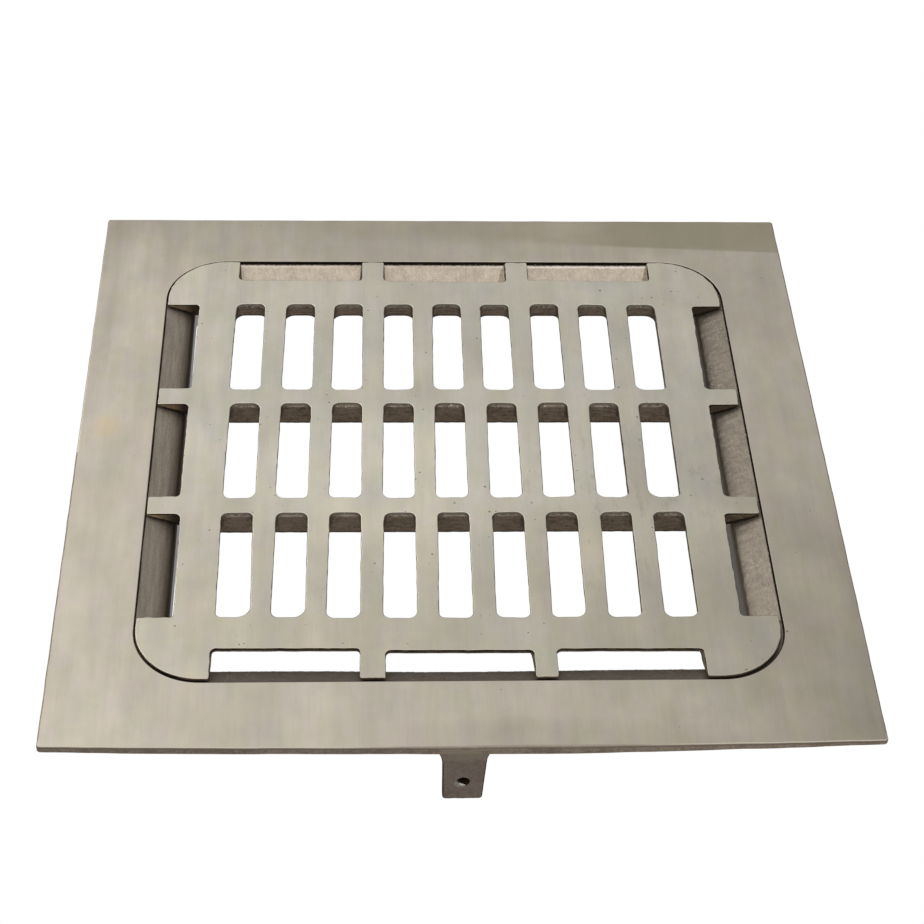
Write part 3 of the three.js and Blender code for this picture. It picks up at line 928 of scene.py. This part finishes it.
FRONT_LIP_SET_BACK = 0.9
FLANGE_INSET = 0.02      # the worn edge stands this far inside the design's outline
FLANGE_CORNER = 1.3
FLANGE_EDGE = 0.62       # rounding of the outer arris
ROLLED_EDGE = 0.45       # how much more it is rolled over above the front lug
WORN_EDGE = 0.28         # rounding below, and round the opening
FLANGE_HALF_X, FLANGE_HALF_Y = FLANGE.size[:2] / 2 - FLANGE_INSET
FLANGE_FRONT_Y = FRONT_BOW - FLANGE_HALF_Y
SAND_RELIEF = 0.07       # heights of the seat's grains and of the streaks of its dressed side
FINE_RELIEF = 0.045
STREAK_RELIEF = 0.035
sand = Field(1.15, waves=60)
sand_fine = Field(0.7, waves=60)
streak = Field(0.9, stretch=(1, 30, 1))
edge_wander = Field(14)
edge_slow = Field(70)


def flange_outline():
    outline = rectangle(FLANGE_HALF_X, FLANGE_FRONT_Y, FLANGE_HALF_Y, FLANGE_CORNER, 2.2)
    front = outline[:, 1] < FLANGE_FRONT_Y + 0.7
    outline[front, 1] -= FRONT_BOW * (1 - (outline[front, 0] / FLANGE_HALF_X) ** 2)
    return outline


def flange_foot(points):
    """Height of the flange's lower edge, which was cast unevenly and is thinnest at its corners."""
    x, y = points[:, 0], points[:, 1]
    to_edge = np.minimum(FLANGE_HALF_X - np.abs(x), FLANGE_HALF_Y - np.abs(y))
    front = smoothstep(-FLANGE_HALF_Y + 25, -FLANGE_HALF_Y, y)
    uneven = 0.68 - 0.72 * np.exp(-((x - 28) / 42) ** 2) + 0.5 * smoothstep(-105, -148, x)
    uneven += 0.35 * smoothstep(80, 100, x) + 0.9 * smoothstep(105, 150, x)
    elsewhere = 0.55 + 0.25 * edge_slow(points)
    lift = front * uneven + (1 - front) * elsewhere
    return FLANGE.low[2] + np.clip(lift, 0, 2.0) * smoothstep(9, 0, to_edge)


def make_flange(face, edge_look, land, under):
    solid = Solid()
    outline = flange_outline()
    out = outward(outline)
    outline = outline + out * np.clip(0.05 * edge_wander(outline) - 0.05, -0.12, 0)[:, None]
    at_front = outline[:, 1] < 0
    rolled = at_front * np.exp(-((outline[:, 0] - ARRIS_ROLLED_X) / 42) ** 2)
    round_top = FLANGE_EDGE + ROLLED_EDGE * rolled
    rings = solid.eased_top(outline, out, round_top)
    foot = flange_foot(outline)
    for share in (0.35, 0.7, 1.0):
        z = (TOP - round_top) + (foot + WORN_EDGE - TOP + round_top) * share
        rough = np.clip(0.03 * sand(np.column_stack([outline * 0.4, z])), -0.08, 0.02)
        rings.append(solid.ring(outline + out * rough[:, None], z))
    rings += solid.eased_foot(outline, out, WORN_EDGE, lambda place: foot)
    # the front, right and back arrises take the darker edge skin: painted shade along them
    shaded_arrises = at_front | (outline[:, 0] > FLANGE_HALF_X - 1) | (outline[:, 1] > FLANGE_HALF_Y - 1)
    solid.wall(rings[:4], np.where(shaded_arrises, 1, 0))
    solid.wall(rings[3:], 1)

    hole = square_ring(OPENING_HALF, OPENING_RADIUS) + (0, OPENING_Y)
    land_rings = solid.eased_top(hole, -outward(hole), WORN_EDGE)
    land_rings += [solid.ring(hole, LAND_FOOT - 0.3), solid.ring(hole, FLANGE.low[2])]
    solid.wall(land_rings[:4], 0, hole=True)
    # the land wall takes the near-black skin: painted shade, partly dirt
    solid.wall(land_rings[3:], 2, hole=True)
    solid.cap(rings[0], [land_rings[0]], up=True, look=0)
    solid.rough_cap(rings[-1], [land_rings[-1]], False, 3, outline, spacing=3.2, gap=1.2,
                    height=lambda p: flange_foot(p) + np.clip(0.08 * Field(4)(p), -0.1, 0.2))
    return solid.build("flange", [face, edge_look, land, under])


def seat_profile():
    """(half, height, look, roughness) round the ring's section: slope, lip, throat, foot, outside."""
    slope_angle = math.atan(SEAT_SLOPE)
    lip_turn = math.pi / 2 - slope_angle
    reach = LIP_RADIUS * math.tan(lip_turn / 2)
    lip_top = THROAT_HALF + reach * math.cos(slope_angle)
    lip_z = LAND_FOOT - SEAT_SLOPE * (OPENING_HALF - THROAT_HALF) - reach
    mouth = THROAT_HALF + THROAT_DRAFT * (lip_z - SKIRT_FOOT)
    profile = [(half, LAND_FOOT - SEAT_SLOPE * (OPENING_HALF - half), 0, 1.0)
               for half in np.linspace(OPENING_HALF + 0.25, lip_top, 16)]
    profile += [(THROAT_HALF + LIP_RADIUS * (1 + math.cos(angle)),
                 lip_z + LIP_RADIUS * math.sin(angle), 0, 0.6)
                for angle in math.pi / 2 + slope_angle + np.linspace(0, lip_turn, 8)[1:]]
    profile += [(THROAT_HALF + THROAT_DRAFT * (lip_z - z), z, 1, 0.25)
                for z in np.linspace(lip_z, SKIRT_FOOT + 0.8, 7)[1:]]
    profile += [(mouth + 0.25, SKIRT_FOOT + 0.25, 1, 0.2), (mouth + 0.7, SKIRT_FOOT, 2, 0.2),
                (SKIRT_HALF - 0.8, SKIRT_FOOT, 2, 0.2), (SKIRT_HALF - 0.25, SKIRT_FOOT + 0.25, 2, 0.4)]
    profile += [(SKIRT_HALF, z, 2, 0.9) for z in np.linspace(SKIRT_FOOT + 0.8, HAUNCH_FOOT - 0.6, 7)]
    profile += [(SKIRT_HALF + (OPENING_HALF - SKIRT_HALF) * share - 0.2,
                 HAUNCH_FOOT + (FLANGE.low[2] - HAUNCH_FOOT) * share, 2, 0.9)
                for share in np.linspace(0, 1, 6)[1:]]
    return profile + [(OPENING_HALF + 0.25, FLANGE.low[2] + 0.5, 2, 0)]


def seat_grain(points, half):
    """How far the cast skin stands out: sandy, but streaked where the left side was dressed."""
    grain = SAND_RELIEF * np.maximum(sand(points), -0.6) + FINE_RELIEF * sand_fine(points)
    grain = grain * smoothstep(OPENING_HALF + 0.2, OPENING_HALF - 2.5, half)
    dressed = smoothstep(-THROAT_HALF + 14, -THROAT_HALF + 1, points[:, 0])
    dressed *= smoothstep(100, 88, np.abs(points[:, 1]))
    return np.clip(grain * (1 - dressed) + STREAK_RELIEF * streak(points) * dressed, -0.2, 0.22)


def make_seat(seat, throat, under):
    solid = Solid()
    profile = seat_profile()
    section = np.array(profile)[:, :2]
    along = np.roll(section, -1, axis=0) - np.roll(section, 1, axis=0)
    along /= np.linalg.norm(along, axis=1)[:, None]
    rings = []
    for (half, z, look, rough), (along_half, along_z) in zip(profile, along):
        ring = square_ring(half, OPENING_RADIUS - OPENING_HALF + half)
        points = np.column_stack([ring, np.full(len(ring), z)])
        move = rough * seat_grain(points, half)
        if look == 1:
            draft = max(half - THROAT_HALF, 0)
            for side, held in ((1, 0.85), (-1, 0.9)):
                near = smoothstep(THROAT_HALF - 10, THROAT_HALF - 1, side * points[:, 0])
                points[:, 0] -= side * held * draft * near
        points[:, :2] += outward(ring) * (along_z * move)[:, None]
        points[:, 2] -= along_half * move
        set_back = smoothstep(-104, -108.4, points[:, 1]) * smoothstep(SKIRT_HALF, THROAT_HALF + 1, half)
        further = 0.6 * np.exp(-(points[:, 0] / 40) ** 2) + 0.35 * smoothstep(-60, -10, points[:, 0])
        points[:, 1] += OPENING_Y - set_back * FRONT_LIP_SET_BACK * (0.8 + further)
        rings.append(solid.add_points(points))
    for upper, lower, (_, _, look, _) in zip(rings, rings[1:] + rings[:1], profile):
        solid.strip(lower, upper, look)
    return solid.build("seat", [seat, throat, under])


LUG_FOOT_WIDTH = 13.6
LUG_NECK_WIDTH = 15.2
LUG_ROOT_WIDTH = 17.5
LUG_EDGE = 1.0
LUG_HOLE = np.array([-0.45, 10.5])       # across and up
LUG_HOLE_RADIUS = 2.15
LUG_HOLE_WORN = math.radians(224)        # the direction in which the hole's mouth is worn most


def lug_outline(lean):
    """Front view of a lug, which runs up inside the flange, its right side leaning in by lean."""
    foot, neck, root = LUG_FOOT_WIDTH / 2, LUG_NECK_WIDTH / 2, LUG_ROOT_WIDTH / 2
    under = FLANGE.low[2]
    right = [(foot + 0.5 - lean, 0.02, 1.25), (neck + 0.15, under - 2.9, 17),
             (root, under + 0.4, 1.2), (root, TOP - 1.0, 1.2)]
    left = [(-root - 1.1, TOP - 1.0, 1.2), (-root - 1.1, under + 0.7, 1.2),
            (-neck - 0.6, under - 3.6, 21), (-foot - 1.0, 0.02, 1.2)]
    return rounded_outline(right + left, 0.7)


def make_lug(side, quarter_turns, looks):
    box = LUGS[side]
    plane = min(box.size[:2]) / 2
    reach = np.abs(box.middle[:2]).max()
    solid = Solid()
    outline = lug_outline(random.uniform(0.2, 0.7))
    out = outward(outline)
    angle = np.linspace(0, 2 * math.pi, 37)[:-1]
    worn = np.clip(np.cos(angle - LUG_HOLE_WORN), 0, 1) ** 2
    mouth_edge = 0.2 + 1.2 * worn
    wave = Field(6)
    tooth = Field(1.2)

    def face(points, depth=plane):
        """Moves a face in from its plane: ground slightly hollow, and flush with the flange above."""
        hollow = 0.22 * smoothstep(FLANGE.low[2] + 0.5, FLANGE.low[2] - 3.5, points[:, 1])
        return depth - hollow - np.clip(0.06 * wave(points) + 0.02 * tooth(points), -0.05, 0.15)

    contour, bore = [], []
    for sign in (1, -1):
        edges, mouths = [], []
        for turn in EDGE_ANGLES:
            edge = outline - out * LUG_EDGE * (1 - math.sin(turn))
            mouth = LUG_HOLE + around(angle) * (LUG_HOLE_RADIUS + mouth_edge * (1 - math.sin(turn)))[:, None]
            for flat, size, rings in ((edge, LUG_EDGE, edges), (mouth, mouth_edge, mouths)):
                rings.append(solid.ring(flat, sign * face(flat, plane - size * (1 - math.cos(turn)))))
        solid.rough_cap(edges[0], [mouths[0]], sign > 0, 0, solid.flat(edges[0]), spacing=0.9, gap=0.35,
                        height=lambda p, s=sign: s * face(p))
        contour += edges[::sign]
        bore += mouths[::sign]
    # the rounded edges take the dark edge skin: a painted shade outline round the lug
    for number, (upper, lower) in enumerate(zip(contour, contour[1:])):
        solid.strip(upper, lower, 2 if number in (1, 2, 4, 5) else 0)
    # the bore takes the near-black skin, painted shade; the worn part of its mouth takes the pale skin,
    # painted light on real wear
    middle = len(EDGE_ANGLES) - 1
    for number, (upper, lower) in enumerate(zip(bore, bore[1:])):
        solid.strip(lower, upper, np.where((number != middle) & (worn > 0.3), 3, 1))

    def place(points):
        """Local x, y, z are the lug's width, its height and its thickness towards the outside."""
        local = np.column_stack([points[:, 0], -reach - points[:, 2], points[:, 1]])
        return local @ np.array(Matrix.Rotation(quarter_turns * math.pi / 2, 3, "Z")).T

    return solid.build("lug_" + side, looks, place=place)


# ---- Stage, light and camera --------------------------------------------------------------

FLOOR_HALF_M = 6.0
CAMERA_AIM = (3.4, -6.4)         # on the top face
CAMERA_DISTANCE = 851.2
CAMERA_ELEVATION = 44.0
CAMERA_AZIMUTH = -3.675          # turned to look slightly towards +X
CAMERA_ROLL = 2.454
CAMERA_LENS = 83.14
CAMERA_SENSOR = 36


def fresh_nodes(owner, *kinds):
    """The node tree of a material or world, and new nodes of these kinds instead of its own."""
    owner.use_nodes = True
    tree = owner.node_tree
    tree.nodes.clear()
    return tree, *(tree.nodes.new("ShaderNode" + kind) for kind in kinds)


def link_inputs(tree, node, *sources):
    """Feeds a node's first inputs from these outputs."""
    for source, socket in zip(sources, node.inputs):
        tree.links.new(source, socket)


def make_floor():
    """A plain white floor that only the camera sees, so that the drain is lit by the room alone."""
    mesh = bpy.data.meshes.new("floor")
    far = FLOOR_HALF_M
    mesh.from_pydata([(-far, -far, 0), (far, -far, 0), (far, far, 0), (-far, far, 0)], [], [(0, 1, 2, 3)])
    floor = add_thing("floor", mesh)
    material = bpy.data.materials.new("white floor")
    tree, white, clear, facing, either, output = fresh_nodes(
        material, "Emission", "BsdfTransparent", "NewGeometry", "MixShader", "OutputMaterial")
    link_inputs(tree, either, facing.outputs["Backfacing"], white.outputs[0], clear.outputs[0])
    link_inputs(tree, output, either.outputs[0])
    mesh.materials.append(material)
    for ray in ("diffuse", "glossy", "shadow", "transmission"):
        setattr(floor, "visible_" + ray, False)


def make_room(overhead, high, horizon, below):
    """World light that is brightest overhead, fades to the horizon and is dim from below."""
    world = bpy.data.worlds.new("room")
    bpy.context.scene.world = world
    tree, direction, split, scale, ramp, light, white, path, either, output = fresh_nodes(
        world, "TexCoord", "SeparateXYZ", "MapRange", "ValToRGB", "Background", "Background",
        "LightPath", "MixShader", "OutputWorld")
    link_inputs(tree, split, direction.outputs["Generated"])
    link_inputs(tree, scale, split.outputs["Z"])
    link_inputs(tree, ramp, scale.outputs[0])
    link_inputs(tree, light, ramp.outputs[0])
    link_inputs(tree, either, path.outputs["Is Camera Ray"], light.outputs[0], white.outputs[0])
    link_inputs(tree, output, either.outputs[0])
    scale.inputs["From Min"].default_value = -1.0
    white.inputs["Color"].default_value = (1, 1, 1, 1)
    stops = ramp.color_ramp.elements
    stops[0].position, stops[0].color = 0.36, (*below, 1)
    stops[1].position, stops[1].color = 0.52, (*horizon, 1)
    for position, colour in ((0.84, high), (1.0, overhead)):
        stops.new(position).color = (*colour, 1)


def make_softbox(name, place, aim, size, watts):
    lamp = bpy.data.lights.new(name, "AREA")
    lamp.size = size
    lamp.energy = watts
    thing = add_thing(name, lamp)
    thing.location = place
    thing.rotation_euler = (Vector(aim) - Vector(place)).to_track_quat("-Z", "Y").to_euler()
    thing.visible_camera = False


def make_camera():
    camera = bpy.data.cameras.new("camera")
    camera.lens = CAMERA_LENS
    camera.sensor_width = CAMERA_SENSOR
    camera.clip_start, camera.clip_end = 0.05, 50
    thing = add_thing("camera", camera)
    turns = ((0, 0, CAMERA_AZIMUTH), (90 - CAMERA_ELEVATION, 0, 0), (0, 0, CAMERA_ROLL))
    turn, tilt, roll = (Euler(np.radians(degrees)).to_matrix() for degrees in turns)
    pose = turn @ tilt @ roll
    place = Vector((*CAMERA_AIM, TOP)) * MM + pose @ Vector((0, 0, CAMERA_DISTANCE * MM))
    thing.matrix_world = Matrix.Translation(place) @ pose.to_4x4()
    bpy.context.scene.camera = thing


# ---- Assembly -----------------------------------------------------------------------------

def settle(piece, body, slot, *nodes):
    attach(piece, body)
    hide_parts(*nodes)


make_camera()
make_floor()
make_room(overhead=(1.15, 1.15, 1.15), high=(0.66, 0.66, 0.66), horizon=(0.16, 0.155, 0.15),
          below=(0.26, 0.25, 0.24))
make_softbox("left softbox", place=(-1.3, 0.9, 1.2), aim=(-0.05, 0.0, 0.0), size=1.2, watts=8.0)

scene = bpy.context.scene
scene.view_settings.view_transform = "Standard"

under = plain_skin("cast underside")
flange = make_flange(flange_face_look(), flange_edge_look(), black_skin("land in painted shade"), under)
settle(flange, "frame", "brushed_flange", "flange_plate")
seat = make_seat(seat_look(), throat_look(), under)
settle(seat, "frame", "cast_seat", "seat_ring")
lug_looks = [lug_look(), black_skin("bore in painted shade"), plain_skin("lug edge in painted shade"), plain_skin("worn hole mouth with painted light")]
for turns, side in enumerate(("front", "right", "rear", "left")):
    lug = make_lug(side, turns, lug_looks)
    settle(lug, "frame", "cast_lug", "anchor_lug_" + side)
grate = make_grate([grate_face_look(), grate_wall_look(), slot_wall_look(), plain_skin("arris in painted shade"),
                    plain_skin("cast grate underside")])
settle(grate, "grate", "brushed_grate", "grate_plate")
rib_wall = slot_wall_look(foot=RIB_FOOT, everywhere=True)
for name in RIBS:
    rib = make_rib(name, rib_wall)
    settle(rib, "grate", "cast_rib", name)
